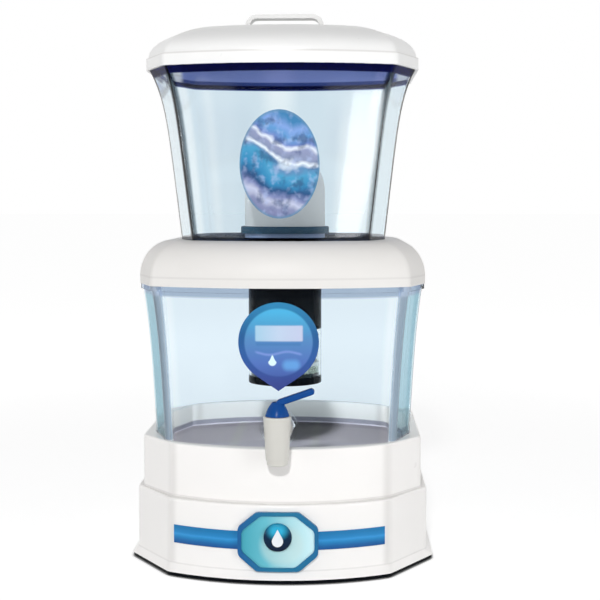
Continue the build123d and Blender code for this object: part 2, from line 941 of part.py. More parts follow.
# Beds and pads inside the cartridge, stacked from its foot upwards
sand_bottom = clear_bottom + base_cap_spigot
sand_top = sand_bottom + sand_height
mineral_bottom = sand_top + pad_thickness
mineral_top = cartridge_middle - cartridge_wall
carbon_bottom = cartridge_middle + spigot_length + pad_thickness
carbon_bed_top = carbon_top - cartridge_wall - pad_thickness
with BuildPart() as sand_bed:
    disc(bed_radius, sand_bottom, sand_top)
save(sand_bed, "sand_bed")

with BuildPart() as mineral_bed:
    disc(bed_radius, mineral_bottom, mineral_top)
save(mineral_bed, "mineral_bed")

with BuildPart() as carbon_bed:
    disc(bed_radius, carbon_bottom, carbon_bed_top)
save(carbon_bed, "carbon_bed")

with BuildPart() as separator_pad:
    disc(bed_radius, sand_top, mineral_bottom)
save(separator_pad, "separator_pad")

with BuildPart() as filter_pads:
    disc(bed_radius, carbon_bottom - pad_thickness, carbon_bottom)
    disc(bed_radius, carbon_bed_top, carbon_bed_top + pad_thickness)
save(filter_pads, "filter_pads")

# Labels: thin skins that follow the fronts of the tanks
with BuildPart() as oval_label:
    rise(upper_levels, grow=label_clearance + label_thickness)
    rise(upper_levels, grow=label_clearance, mode=Mode.SUBTRACT)
    with BuildSketch(Plane.XZ) as oval:
        with Locations((0, oval_height)):
            Ellipse(oval_half_width, oval_half_height)
    keep_front(oval.sketch)
save(oval_label, "oval_label")

with BuildPart() as drop_label:
    rise(lower_levels, grow=label_clearance + label_thickness)
    rise(lower_levels, grow=label_clearance, mode=Mode.SUBTRACT)
    keep_front(drop_outline(drop_height, drop_radius, drop_reach, False))
save(drop_label, "drop_label")

# Tap: an upright body with a threaded tail through the front wall of the lower tank
tap_top = tap_height + tap_rise
tap_bottom = tap_height - tap_drop
plug_bottom = tap_height - plug_seat
washer_front = tap_pad_front + tap_washer_thickness
washer_back = tap_pad_back - tap_washer_thickness
nut_back = washer_back - lock_nut_thickness
thread_end = nut_back - tap_thread_spare


def tap_disc(radius, bottom, top, mode=Mode.ADD):
    """A cylinder on the tap's upright axis from bottom to top."""
    with Locations((0, -tap_axis, bottom)):
        Cylinder(radius, top - bottom, align=standing, mode=mode)


with BuildPart() as tap_body:
    with Locations((0, -tap_axis, tap_bottom)):
        Cone(tap_bottom_radius, tap_top_radius, tap_top - tap_bottom, align=standing)
    fillet(tap_body.edges().group_by(Axis.Z)[-1], radius=tap_round)
    front_disc(tap_thread_radius, tap_height, thread_end, tap_axis)
    front_disc(
        tap_collar_radius, tap_height, washer_front, washer_front + tap_collar_thickness
    )
    tap_disc(plug_radius + running_clearance, plug_bottom, tap_top, mode=Mode.SUBTRACT)
    tap_disc(spout_bore, tap_bottom, plug_bottom, mode=Mode.SUBTRACT)
    tap_disc(
        nozzle_spigot_radius + label_clearance,
        tap_bottom,
        tap_bottom + nozzle_spigot,
        mode=Mode.SUBTRACT,
    )
    front_disc(tap_bore, tap_height, thread_end, tap_axis, mode=Mode.SUBTRACT)
save(tap_body, "tap_body")

with BuildPart() as tap_nozzle:
    tap_disc(nozzle_radius, tap_bottom - nozzle_length, tap_bottom)
    fillet(tap_nozzle.edges().group_by(Axis.Z)[0], radius=tap_round)
    tap_disc(nozzle_spigot_radius, tap_bottom, tap_bottom + nozzle_spigot)
    tap_disc(
        nozzle_bore, tap_bottom - nozzle_length, tap_bottom + nozzle_spigot, mode=Mode.SUBTRACT
    )
save(tap_nozzle, "tap_nozzle")


def front_ring(radius, back, front):
    """A flat ring round the tap's threaded tail."""
    front_disc(radius, tap_height, back, front)
    front_disc(
        tap_thread_radius + sleeve_clearance, tap_height, back, front, mode=Mode.SUBTRACT
    )


with BuildPart() as tap_outer_washer:
    front_ring(tap_washer_radius, tap_pad_front, washer_front)
save(tap_outer_washer, "tap_outer_washer")

with BuildPart() as tap_inner_washer:
    front_ring(tap_washer_radius, washer_back, tap_pad_back)
save(tap_inner_washer, "tap_inner_washer")

with BuildPart() as tap_lock_nut:
    with BuildSketch(Plane.XZ.offset(nut_back)):
        with Locations((0, tap_height)):
            RegularPolygon(lock_nut_radius, 6)
            Circle(tap_thread_radius + label_clearance, mode=Mode.SUBTRACT)
    extrude(amount=lock_nut_thickness)
save(tap_lock_nut, "tap_lock_nut")

# Valve plug: it turns with the lever and lines its side port up with the tail's bore
lever_bottom = tap_top + lever_gap
o_ring_height = tap_top - o_ring_depth
with BuildPart() as tap_plug:
    tap_disc(plug_radius, plug_bottom + lever_gap, lever_bottom)
    tap_disc(key_radius, lever_bottom, lever_bottom + key_height)
    tap_disc(plug_port, plug_bottom + lever_gap, tap_height, mode=Mode.SUBTRACT)
    with BuildSketch(Plane.YZ) as port:
        with Locations((-tap_axis, tap_height)):
            Circle(plug_port)
    extrude(port.sketch, amount=-2 * plug_radius, mode=Mode.SUBTRACT)
    with Locations((0, -tap_axis, o_ring_height)):
        Torus(
            plug_radius + running_clearance - o_ring_wire,
            o_ring_wire + label_clearance,
            mode=Mode.SUBTRACT,
        )
save(tap_plug, "tap_plug")

with BuildPart() as tap_o_ring:
    with Locations((0, -tap_axis, o_ring_height)):
        Torus(plug_radius + running_clearance / 2 - o_ring_wire, o_ring_wire)
save(tap_o_ring, "tap_o_ring")

# Lever: a bell over the top of the body, whose arm rises to the side while closed
lever_neck_height = lever_bottom + lever_hub_height
lever_side = Plane.XZ.offset(tap_axis)
lever_arm_foot = lever_neck_height - lever_arm_thickness
lever_arm_height = lever_neck_height - lever_arm_sink
with BuildPart() as tap_lever:
    with BuildSketch(lever_side):
        with BuildLine():
            FilletPolyline(
                (0, lever_arm_foot),
                (0, lever_arm_height),
                (lever_arm_reach, lever_arm_height + lever_arm_rise),
                radius=lever_arm_bend,
            )
            offset(amount=lever_arm_thickness / 2, side=Side.BOTH)
        make_face()
    extrude(amount=lever_arm_width / 2, both=True)
    arm_sides = tap_lever.faces().filter_by(Axis.Y).edges()
    fillet(arm_sides, radius=lever_arm_round)
    with BuildSketch(lever_side):
        with BuildLine():
            Line((0, lever_bottom), (lever_hub_radius, lever_bottom))
            ThreePointArc(
                (lever_hub_radius, lever_bottom),
                (
                    (lever_hub_radius + lever_neck_radius) / 2 + lever_hub_fullness,
                    lever_bottom + lever_hub_height / 2 + lever_hub_fullness,
                ),
                (lever_neck_radius, lever_neck_height),
            )
            Line((lever_neck_radius, lever_neck_height), (0, lever_neck_height))
            Line((0, lever_neck_height), (0, lever_bottom))
        make_face()
    revolve(axis=Axis((0, -tap_axis, 0), (0, 0, 1)))
    tap_disc(
        key_radius + label_clearance,
        lever_bottom,
        lever_bottom + key_height,
        mode=Mode.SUBTRACT,
    )
save(tap_lever, "tap_lever")
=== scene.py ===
# The looks of a two-tank gravity water purifier, in metres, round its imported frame.
# The front faces -Y, +Z is up, and the tanks share one upright axis.
import json
import math
import random

import bpy
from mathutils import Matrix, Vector

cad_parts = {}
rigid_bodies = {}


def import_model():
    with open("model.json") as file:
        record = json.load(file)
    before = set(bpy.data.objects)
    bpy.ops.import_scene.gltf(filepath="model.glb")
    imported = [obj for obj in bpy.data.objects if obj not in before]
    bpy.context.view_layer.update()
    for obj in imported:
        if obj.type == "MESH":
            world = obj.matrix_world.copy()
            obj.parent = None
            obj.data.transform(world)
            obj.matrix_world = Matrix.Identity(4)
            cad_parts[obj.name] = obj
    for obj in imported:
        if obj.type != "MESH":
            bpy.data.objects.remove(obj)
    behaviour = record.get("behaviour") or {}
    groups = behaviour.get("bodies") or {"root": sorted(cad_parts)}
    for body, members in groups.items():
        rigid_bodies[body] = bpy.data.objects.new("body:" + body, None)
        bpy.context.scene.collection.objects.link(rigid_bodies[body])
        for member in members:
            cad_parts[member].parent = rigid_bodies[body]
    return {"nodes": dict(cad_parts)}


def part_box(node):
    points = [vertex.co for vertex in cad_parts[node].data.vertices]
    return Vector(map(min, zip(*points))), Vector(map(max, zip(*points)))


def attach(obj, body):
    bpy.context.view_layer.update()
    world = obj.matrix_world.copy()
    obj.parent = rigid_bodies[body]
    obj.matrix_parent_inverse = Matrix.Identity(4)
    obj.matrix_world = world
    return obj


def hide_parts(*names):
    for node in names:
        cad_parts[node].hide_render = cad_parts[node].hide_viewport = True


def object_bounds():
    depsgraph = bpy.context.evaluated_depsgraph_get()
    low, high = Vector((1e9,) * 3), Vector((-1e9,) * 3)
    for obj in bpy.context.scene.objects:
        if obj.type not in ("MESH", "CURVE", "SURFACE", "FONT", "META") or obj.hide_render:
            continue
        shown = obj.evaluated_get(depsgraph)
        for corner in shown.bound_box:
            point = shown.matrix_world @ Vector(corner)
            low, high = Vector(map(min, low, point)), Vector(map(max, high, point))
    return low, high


for leftover in list(bpy.data.objects):
    bpy.data.objects.remove(leftover)

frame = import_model()
nodes = frame["nodes"]
cad_low, cad_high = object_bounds()
scene = bpy.context.scene
random.seed(7)

# Camera: what the photograph, 600 pixels wide, shows of the upright axis and the horizon
image_size = 600
focal_pixels = 1191
axis_column = 285
horizon_row = 204
camera_shift = -0.096
camera_distance = 1.194
camera_height = 0.338
camera_turn = math.radians(2.6)
sensor_width = 36.0

# Places that the frame gives
dome_low, dome_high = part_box("ceramic_dome")
axis = (dome_low + dome_high) / 2
button_low, button_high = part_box("badge_dome")
badge_centre = (button_low + button_high) / 2
lid_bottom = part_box("lid")[0].z
upper_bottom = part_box("upper_tank")[0].z
lower_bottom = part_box("lower_tank")[0].z
lower_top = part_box("lower_tank")[1].z
stand_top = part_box("base_shell")[1].z

# Heights where the mouldings step or turn
lid_step = lid_bottom + 0.011
lid_ceiling = lid_bottom + 0.008
cover_skirt = 0.2709
stand_step = 0.0708
stand_flange = 0.0112
upper_foot_top = upper_bottom + 0.0070
lower_rim_from = lower_top - 0.0185
lower_floor_top = lower_bottom + 0.003
lower_foot_top = lower_floor_top + 0.0048

# Corners: turns about the upright axis from the front, and distances to either side of it
upper_corner_turn = math.radians(44.6)
lower_corner_turn = math.radians(47.5)
lid_shade_half_width = 0.1145
stand_corner = 0.0953
stand_corner_width = 0.006

# Colours of the casings, as light from 0 to 1
white_lid = (0.84, 0.84, 0.835)
# Painted shade: the cover is given a darker white than the stand, which dims its upturned slope
white_cover = (0.745, 0.73, 0.71)
white_stand = (0.90, 0.885, 0.87)
white_tap = (0.61, 0.60, 0.56)
pale_grey = (0.68, 0.68, 0.67)
# Painted shade: the grey of the creases where mouldings step or turn
step_shade_grey = (0.60, 0.585, 0.57)
# Painted shade: the blue-violet of the lid's shaded underside as seen through the tank
lid_inside_painted_shade = (0.25, 0.30, 0.62)

# Colours of the upper tank
upper_clear = (0.79, 0.87, 0.915)
# Painted light: the paler tint of the upper tank's front facets
upper_facet_painted_light = (0.86, 0.93, 0.955)
# Painted shade: the dark lines at the front corners, standing in for the darkening that
# refraction shows at thick corners
upper_corner_painted_shade = (0.08, 0.11, 0.13)
# Painted highlight: pale bands where lamps reflect on the front panels
upper_painted_highlight = (0.97, 1.0, 1.0)
# Painted shade: the dark line round the tank's foot where it enters the cover
upper_foot_painted_shade = (0.02, 0.035, 0.07)
# Painted shade: the navy of the tank's lip in the shade under the lid, front and back
lip_painted_shade = (0.005, 0.009, 0.10)
lip_painted_shade_back = (0.035, 0.065, 0.25)

# Colours of the lower tank
lower_clear = (0.86, 0.925, 0.965)
# Painted shade: the darker tint of the lower tank's front facets
lower_facet_painted_shade = (0.47, 0.66, 0.73)
# Painted shade: the dark lines at the lower tank's front corners
lower_corner_painted_shade = (0.33, 0.41, 0.49)
# Painted highlight beside the lower tank's front corners
lower_painted_highlight = (0.93, 0.98, 1.0)
# Painted shade: the blue-grey band under the cover's edge
lower_rim_painted_shade = (0.44, 0.52, 0.64)
# Painted light: the wall is left untinted where the stand holds it, to lighten the shaded well
# seen through it
lower_held_painted_light = (1.0, 1.0, 1.0)
# Painted shade: the dark strip along the tank's foot, just above its floor
lower_foot_painted_shade = (0.50, 0.50, 0.58)
# Painted shade: the violet of the floor over the stand's shaded well; painted highlight: its
# streaks of reflected light
lower_floor_painted_shade = (0.93, 0.90, 1.0)
lower_floor_painted_highlight = (0.98, 0.98, 1.0)

# Colours of the fittings and labels, and of light that passes through clear plastic
deep_blue = (0.003, 0.058, 0.25)
valve_grey = (0.6, 0.6, 0.6)
black_plastic = (0.002, 0.003, 0.005)
rubber_black = (0.008, 0.020, 0.03)
seal_teal = (0.03, 0.07, 0.11)
silicone_grey = (0.52, 0.52, 0.54)
filter_teal = (0.25, 0.31, 0.48)
drop_white = (0.80, 0.84, 0.88)
label_back = (0.80, 0.80, 0.80)
shell_clear = (0.93, 0.96, 0.96)
lamp_tint = (0.995, 1.0, 1.0)

# The light all round, and the floor: its reach, where its glow changes, and how strong it is
ambient = 0.24
floor_reach = 40.0
floor_near = 0.5
floor_far = 1.8
near_glow = 0.78
far_glow = 0.89
contact_shadow = 0.008
paper_lit = (0.8, 0.8, 0.8)
paper_seen = (0.4, 0.4, 0.4)

# Lamps: azimuth from the front and elevation in degrees, distance, width and height in metres,
# power in watts, and whether glossy surfaces mirror them
lamps = {
    "key": (-3, 24, 2.0, 0.12, 0.12, 17.8, True),
    "top": (0, 78, 1.9, 1.2, 1.2, 1.1, True),
    "left": (-68, 0, 2.2, 0.9, 0.5, 13, True),
    "right": (40, 0, 1.1, 0.30, 0.5, 2.7, True),
    "far_right": (80, 0, 2.2, 0.9, 0.5, 5, True),
    "back_left": (-140, 5, 2.2, 0.8, 0.6, 4, False),
    "back_right": (140, 5, 2.2, 0.8, 0.6, 4, False),
}


class Finish:
    """A material: one Principled shader and the nodes that feed it."""

    def __init__(self, name, values):
        self.material = bpy.data.materials.new(name)
        self.material.use_nodes = True
        self.tree = self.material.node_tree
        self.shader = self.tree.nodes["Principled BSDF"]
        self.output = self.tree.nodes["Material Output"]
        coordinates = self.node("TexCoord")
        self.place = coordinates.outputs["Object"]
        self.normal = coordinates.outputs["Normal"]
        self.set(values)

    def set(self, values):
        """Give sockets of the shader a plain value or the output of a node."""
        for socket, value in values.items():
            self.feed(self.shader.inputs[socket], value)

    def feed(self, socket, value):
        """Give one socket a number, a colour or the output of a node."""
        if isinstance(value, bpy.types.NodeSocket):
            self.tree.links.new(value, socket)
        elif socket.type == "RGBA" and len(value) == 3:
            socket.default_value = (*value, 1.0)
        else:
            socket.default_value = value

    def node(self, kind, inputs=None, **settings):
        """A new node with its settings and inputs."""
        made = self.tree.nodes.new("ShaderNode" + kind)
        for name, value in settings.items():
            setattr(made, name, value)
        for key, value in (inputs or {}).items():
            self.feed(made.inputs[key], value)
        return made

    def math(self, operation, first, second=0.0, third=0.0):
        """One operation on numbers."""
        inputs = {0: first, 1: second, 2: third}
        return self.node("Math", inputs, operation=operation).outputs[0]

    def times(self, *shares):
        """Shares multiplied together."""
        total = shares[0]
        for share in shares[1:]:
            total = self.math("MULTIPLY", total, share)
        return total

    def vector(self, operation, first, second=(0.0, 0.0, 0.0)):
        """One operation on vectors."""
        made = self.node("VectorMath", {0: first, 1: second}, operation=operation)
        return made.outputs["Value" if operation in ("DOT_PRODUCT", "LENGTH") else "Vector"]

    def part(self, vector, letter):
        """One coordinate of a vector."""
        return self.node("SeparateXYZ", {0: vector}).outputs[letter]

    def rise(self, value, start, end):
        """From 0 at start to 1 at end, smoothly."""
        settings = {"Value": value, "From Min": start, "From Max": end}
        made = self.node("MapRange", settings, interpolation_type="SMOOTHSTEP")
        return made.outputs["Result"]

    def above(self, value, edge, soft):
        """1 past an edge that is soft to either side."""
        return self.rise(value, edge - soft, edge + soft)

    def below(self, value, edge, soft):
        """1 before an edge that is soft to either side."""
        return self.rise(value, edge + soft, edge - soft)

    def band(self, value, start, end, soft):
        """1 between start and end, with soft edges."""
        return self.times(self.above(value, start, soft), self.below(value, end, soft))

    def level(self, letter, node):
        """From 0 to 1 along one coordinate, from one end of a node's box to the other."""
        low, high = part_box(node)
        settings = {
            "Value": self.part(self.place, letter),
            "From Min": getattr(low, letter.lower()),
            "From Max": getattr(high, letter.lower()),
        }
        return self.node("MapRange", settings).outputs["Result"]

    def mix(self, share, first, second):
        """The first colour where share is 0, the second where it is 1."""
        made = self.node("Mix", {"Factor": share}, data_type="RGBA")
        sockets = [socket for socket in made.inputs if socket.type == "RGBA"]
        self.feed(sockets[0], first)
        self.feed(sockets[1], second)
        return [socket for socket in made.outputs if socket.type == "RGBA"][0]

    def lay(self, color, over, share, strength):
        """A colour laid thinly over another where share is 1."""
        return self.mix(self.times(share, strength), over, color)

    def ramp(self, value, stops):
        """Colours that follow each other as a value goes from 0 to 1."""
        made = self.node("ValToRGB", {"Fac": value})
        elements = made.color_ramp.elements
        while len(elements) < len(stops):
            elements.new(0.5)
        for element, (position, color) in zip(elements, stops):
            element.position = position
            element.color = (*color, 1.0)
        return made.outputs["Color"]

    def noise(self, scale, detail, place=None):
        """Smooth noise from 0 to 1."""
        inputs = {"Vector": place or self.place, "Scale": scale, "Detail": detail}
        return self.node("TexNoise", inputs).outputs["Fac"]

    def cells(self, scale):
        """Distance from the middle of the nearest of many small cells."""
        return self.node("TexVoronoi", {"Vector": self.place, "Scale": scale}).outputs["Distance"]

    def bump(self, height, strength, distance):
        """Relief too fine for the mesh."""
        inputs = {"Height": height, "Strength": strength, "Distance": distance}
        self.set({"Normal": self.node("Bump", inputs).outputs["Normal"]})

    def height(self):
        """How high a place stands over the floor."""
        return self.part(self.place, "Z")

    def across(self):
        """How far a place lies to either side of the upright axis."""
        side = self.math("SUBTRACT", self.part(self.place, "X"), axis.x)
        return self.math("ABSOLUTE", side)

    def turn(self):
        """How far a place lies round the upright axis from the front or the back."""
        away = self.vector("ABSOLUTE", self.vector("SUBTRACT", self.place, tuple(axis)))
        return self.math("ARCTAN2", self.part(away, "X"), self.part(away, "Y"))

    def front(self):
        """1 in the front half of the tanks, 0 behind their axis."""
        return self.below(self.part(self.place, "Y"), axis.y, soft=0.01)

    def upright(self):
        """1 on walls, 0 on floors and brims."""
        flatness = self.math("ABSOLUTE", self.part(self.normal, "Z"))
        return self.below(flatness, 0.625, soft=0.125)

    def facing_back(self):
        """1 on the faces that look to the back of the purifier."""
        return self.above(self.part(self.normal, "Y"), 0.1, soft=0.1)

    def inward(self, centre):
        """1 on the faces that look towards a centre."""
        arm = self.vector("SUBTRACT", self.place, centre)
        return self.math("LESS_THAN", self.vector("DOT_PRODUCT", self.normal, arm), 0.0)

    def print_place(self, centre):
        """Place on the front of the object about a centre, with no depth."""
        away = self.vector("SUBTRACT", self.place, tuple(centre))
        return self.vector("MULTIPLY", away, (1.0, 0.0, 1.0))

    def bar(self, away, across, up, half_width, half_height, corner, soft):
        """1 inside a bar with rounded corners."""
        moved = self.vector("SUBTRACT", away, (across, 0.0, up))
        straight = (half_width - corner, 1.0, half_height - corner)
        past = self.vector("SUBTRACT", self.vector("ABSOLUTE", moved), straight)
        beyond = self.vector("LENGTH", self.vector("MAXIMUM", past))
        return self.below(beyond, corner, soft)

    def water_drop(self, away, across, up, radius, soft):
        """1 inside a small drop of water with its point upwards."""
        moved = self.vector("SUBTRACT", away, (across, 0.0, up))
        narrowing = 1.1
        stretch = 0.4
        over_middle = self.math("MAXIMUM", self.part(moved, "Z"), 0.0)
        pinch = self.math("MULTIPLY_ADD", over_middle, narrowing / radius, 1.0)
        wide = self.times(self.part(moved, "X"), pinch)
        tall = self.math("MULTIPLY_ADD", over_middle, -stretch, self.part(moved, "Z"))
        reach = self.vector("LENGTH", self.node("CombineXYZ", {"X": wide, "Z": tall}).outputs[0])
        return self.below(reach, radius, soft)

    def let_lamps_through(self, tint):
        """Clear stuff that throws only a pale shadow."""
        through = self.node("BsdfTransparent", {"Color": tint}).outputs[0]
        rays = self.node("LightPath").outputs["Is Shadow Ray"]
        mixed = self.node("MixShader", {0: rays, 1: self.shader.outputs[0], 2: through})
        self.feed(self.output.inputs["Surface"], mixed.outputs[0])


def paint(finish, *names):
    """Give CAD nodes a finish."""
    for name in names:
        mesh = nodes[name].data
        mesh.materials.clear()
        mesh.materials.append(finish.material)


def smooth(name, roughness, gloss=0.3):
    """A smooth printed or enamelled surface."""
    return Finish(name, {"Roughness": roughness, "Specular IOR Level": gloss})


def moulded(name, color, roughness=0.28, gloss=0.4, marks=None):
    """Glossy moulded plastic: faint flow marks, uneven gloss and any painted shade lines."""
    flow_shade = 0.99
    uneven = 0.04
    finish = Finish(name, {"Specular IOR Level": gloss})
    darker = tuple(channel * flow_shade for channel in color)
    body = finish.mix(finish.noise(scale=30.0, detail=3.0), darker, color)
    if marks:
        body = marks(finish, body)
    spread = {
        "Value": finish.noise(scale=80.0, detail=2.0),
        "To Min": roughness * (1 - uneven),
        "To Max": roughness * (1 + uneven),
    }
    rough = finish.node("MapRange", spread).outputs["Result"]
    finish.set({"Base Color": body, "Roughness": rough})
    return finish


def painted_step_shade(finish, body, height, thickness, strength):
    """A painted shade line round a moulding at a height, where two steps of it meet."""
    line = finish.band(finish.height(), height - thickness, height + thickness, thickness / 2)
    return finish.lay(step_shade_grey, body, line, strength)


def mark_lid(finish, body):
    """Painted shade at the lid's step, and on its inside a painted shade, blue-violet as seen
    through the tank's blue plastic and navy deep in the skirt.
    """
    body = painted_step_shade(finish, body, lid_step, thickness=0.0009, strength=0.55)
    deep = finish.below(finish.height(), lid_ceiling, soft=0.0005)
    inside = finish.mix(deep, lid_inside_painted_shade, lip_painted_shade_back)
    sides = finish.above(finish.across(), lid_shade_half_width, soft=0.0025)
    inside = finish.mix(sides, inside, body)
    return finish.mix(finish.inward((axis.x, axis.y, lid_bottom)), body, inside)


def mark_cover(finish, body):
    """Painted shade at the cover's skirt, where its domed side ends."""
    return painted_step_shade(finish, body, cover_skirt, thickness=0.0009, strength=0.45)


def mark_stand(finish, body):
    """Painted shade at the stand's step, its flange and the rounded corners beside its front
    panel.
    """
    body = painted_step_shade(finish, body, stand_step, thickness=0.0011, strength=0.5)
    body = painted_step_shade(finish, body, stand_flange, thickness=0.0006, strength=0.35)
    # Painted shade in the rounded corners beside the front panel
    corner_end = stand_corner + stand_corner_width
    corner = finish.band(finish.across(), stand_corner, corner_end, soft=0.0035)
    return finish.lay(step_shade_grey, body, finish.times(corner, finish.upright()), strength=0.5)


def paint_mouldings():
    """Moulded plastic and rubber: colour, roughness, gloss, marks, and the nodes made of it."""
    black_nodes = ["base_plate", "cartridge_cap", "cartridge_carbon_shell", "cartridge_base"]
    rows = {
        "white_lid": (white_lid, 0.28, 0.4, mark_lid, ["lid"]),
        "white_cover": (white_cover, 0.45, 0.25, mark_cover, ["middle_cover"]),
        "white_stand": (white_stand, 0.28, 0.4, mark_stand, ["base_shell"]),
        "white_tap": (white_tap, 0.28, 0.4, None, ["tap_body", "tap_nozzle"]),
        "pale_grey": (pale_grey, 0.28, 0.4, None, ["lid_handle"]),
        "drop_white": (drop_white, 0.28, 0.4, None, ["badge_drop"]),
        "deep_blue": (deep_blue, 0.25, 0.12, None, ["tap_lever"]),
        "valve_grey": (valve_grey, 0.35, 0.4, None, ["tap_plug", "tap_lock_nut", "wing_nut"]),
        "black_plastic": (black_plastic, 0.22, 0.04, None, black_nodes),
        "rubber": (rubber_black, 0.6, 0.1, None, ["rubber_feet", "tap_o_ring"]),
        "seal_rubber": (seal_teal, 0.6, 0.1, None, ["filter_seal_ring", "filter_washer"]),
        "silicone": (silicone_grey, 0.5, 0.2, None, ["tap_outer_washer", "tap_inner_washer"]),
        "filter_teal": (filter_teal, 0.35, 0.2, None, ["filter_base"]),
    }
    for name, (color, roughness, gloss, marks, painted) in rows.items():
        paint(moulded(name, color, roughness, gloss, marks), *painted)


def clear_tank(name, panel, facet, line, painted_highlight, corner_turn, line_width, line_body, refraction):
    """Clear tinted plastic: panels with painted highlights beside the corners, facets in painted
    light and shade, and painted dark lines between.

    A line's body is how much of the light it holds back.
    """
    tank = Finish(name, {"Roughness": 0.0, "IOR": refraction, "Coat Roughness": 0.1})
    degree = math.radians(1)
    turn = tank.turn()
    front = tank.front()
    front_wall = tank.times(tank.upright(), front)
    # Painted light and shade: the facets take their own tint on the front half only
    facets = tank.above(turn, corner_turn, soft=degree)
    color = tank.mix(tank.times(facets, front), panel, facet)
    # Painted highlight: a pale band on each panel just inside its front corner
    highlight_start = corner_turn - 6 * degree
    highlight_end = corner_turn - 2.5 * degree
    bright = tank.band(turn, highlight_start, highlight_end, soft=degree)
    color = tank.lay(painted_highlight, color, bright, front_wall)
    # Painted shade: dark lines at the front corners, which on the lower tank also let less light
    # through
    line_start = corner_turn - line_width / 2
    dark = tank.band(turn, line_start, line_start + line_width, soft=0.5 * degree)
    dark = tank.times(dark, front_wall)
    color = tank.mix(dark, color, line)
    tank.set({"Transmission Weight": tank.math("MULTIPLY_ADD", dark, -line_body, 1.0)})
    tank.let_lamps_through(lamp_tint)
    return tank, color


def upper_painted_highlights(tank):
    """Where the front of the upper tank has painted highlights, over the right lamp's real
    reflection: stripes right and left, and a glow between.
    """
    wide_from = upper_corner_turn - 0.30
    wide_to = upper_corner_turn - 0.02
    wide_top = 0.425
    thin_from = 0.21 - upper_corner_turn
    thin_to = 0.27 - upper_corner_turn
    thin_strength = 0.6
    glow_half_turn = 0.10
    glow_bottom = 0.405
    height = tank.height()
    turn = tank.turn()
    turn_right = tank.times(turn, tank.math("SIGN", tank.part(tank.place, "X")))
    wide = tank.band(turn_right, wide_from, wide_to, soft=0.06)
    wide = tank.times(wide, tank.below(height, wide_top, soft=0.030))
    thin = tank.times(tank.band(turn_right, thin_from, thin_to, soft=0.04), thin_strength)
    glow = tank.below(turn, glow_half_turn, soft=0.08)
    glow = tank.times(glow, tank.above(height, glow_bottom, soft=0.025))
    stripes = tank.math("MAXIMUM", wide, thin)
    return tank.times(tank.math("MAXIMUM", stripes, glow), tank.front())


def paint_upper_tank():
    """The upper tank, with painted navy shade at its lip and a painted shade line round its foot.
    """
    lip_bottom = lid_bottom - 0.0014
    lip_drop_in_front = 0.0050
    foot_rise_at_corners = 0.003
    corner_half_turn = 0.05
    coat_from_turn = 0.35
    coat_top = 0.444
    coat_weight = 0.8
    tank, color = clear_tank(
        "clear_upper", upper_clear, upper_facet_painted_light, upper_corner_painted_shade, upper_painted_highlight,
        upper_corner_turn, line_width=math.radians(3.9), line_body=0.0, refraction=1.11,
    )
    height = tank.height()
    turn = tank.turn()
    front = tank.front()
    # Painted highlights on the front of the upper tank
    color = tank.mix(upper_painted_highlights(tank), color, upper_painted_highlight)
    sides = tank.above(turn, coat_from_turn, soft=0.07)
    under_lip = tank.below(height, coat_top, soft=0.012)
    tank.set({"Coat Weight": tank.times(under_lip, sides, coat_weight)})
    # Painted shade along the lip, lower at the front
    lip_from = tank.math("MULTIPLY_ADD", front, -lip_drop_in_front, lip_bottom)
    over_lip = tank.math("SUBTRACT", height, lip_from)
    lip = tank.mix(front, lip_painted_shade_back, lip_painted_shade)
    color = tank.mix(tank.above(over_lip, 0.0, soft=0.0006), color, lip)
    # Painted shade round the foot, rising at the front corners
    corner_start = upper_corner_turn - corner_half_turn
    corners = tank.band(turn, corner_start, corner_start + 2 * corner_half_turn, soft=0.02)
    corners = tank.times(corners, front)
    lowered = tank.math("MULTIPLY_ADD", corners, -foot_rise_at_corners, height)
    foot = tank.times(tank.below(lowered, upper_foot_top, soft=0.0005), tank.upright())
    tank.set({"Base Color": tank.mix(foot, color, upper_foot_painted_shade)})
    paint(tank, "upper_tank")


def paint_lower_tank():
    """The lower tank, with painted shade at its rim, foot and floor, painted light where the
    stand holds it, and two painted streaks of reflected light on its floor.
    """
    tank, color = clear_tank(
        "clear_lower", lower_clear, lower_facet_painted_shade, lower_corner_painted_shade, lower_painted_highlight,
        lower_corner_turn, line_width=math.radians(4.0), line_body=0.7, refraction=1.05,
    )
    height = tank.height()
    tank.set({"Coat Weight": 0.05})
    # Painted shade under the cover's edge
    color = tank.mix(tank.above(height, lower_rim_from, soft=0.0015), color, lower_rim_painted_shade)
    # Painted light where the stand holds the tank
    color = tank.mix(tank.below(height, stand_top, soft=0.001), color, lower_held_painted_light)
    # Painted shade along the foot, just above the floor
    color = tank.mix(tank.below(height, lower_foot_top, soft=0.0004), color, lower_foot_painted_shade)
    # Painted highlight: two streaks of reflected light on the floor
    left_centre = axis.x - 0.0515
    left_half = 0.0045
    right_centre = axis.x + 0.030
    right_half = 0.004
    side = tank.part(tank.place, "X")
    left = tank.band(side, left_centre - left_half, left_centre + left_half, soft=0.004)
    right = tank.band(side, right_centre - right_half, right_centre + right_half, soft=0.004)
    streaks = tank.math("MAXIMUM", left, right)
    floor_color = tank.lay(lower_floor_painted_highlight, lower_floor_painted_shade, streaks, strength=0.75)
    # Painted shade: the floor's violet tint
    floor = tank.below(height, lower_floor_top + 0.0003, soft=0.0001)
    tank.set({"Base Color": tank.mix(floor, color, floor_color)})
    paint(tank, "lower_tank")


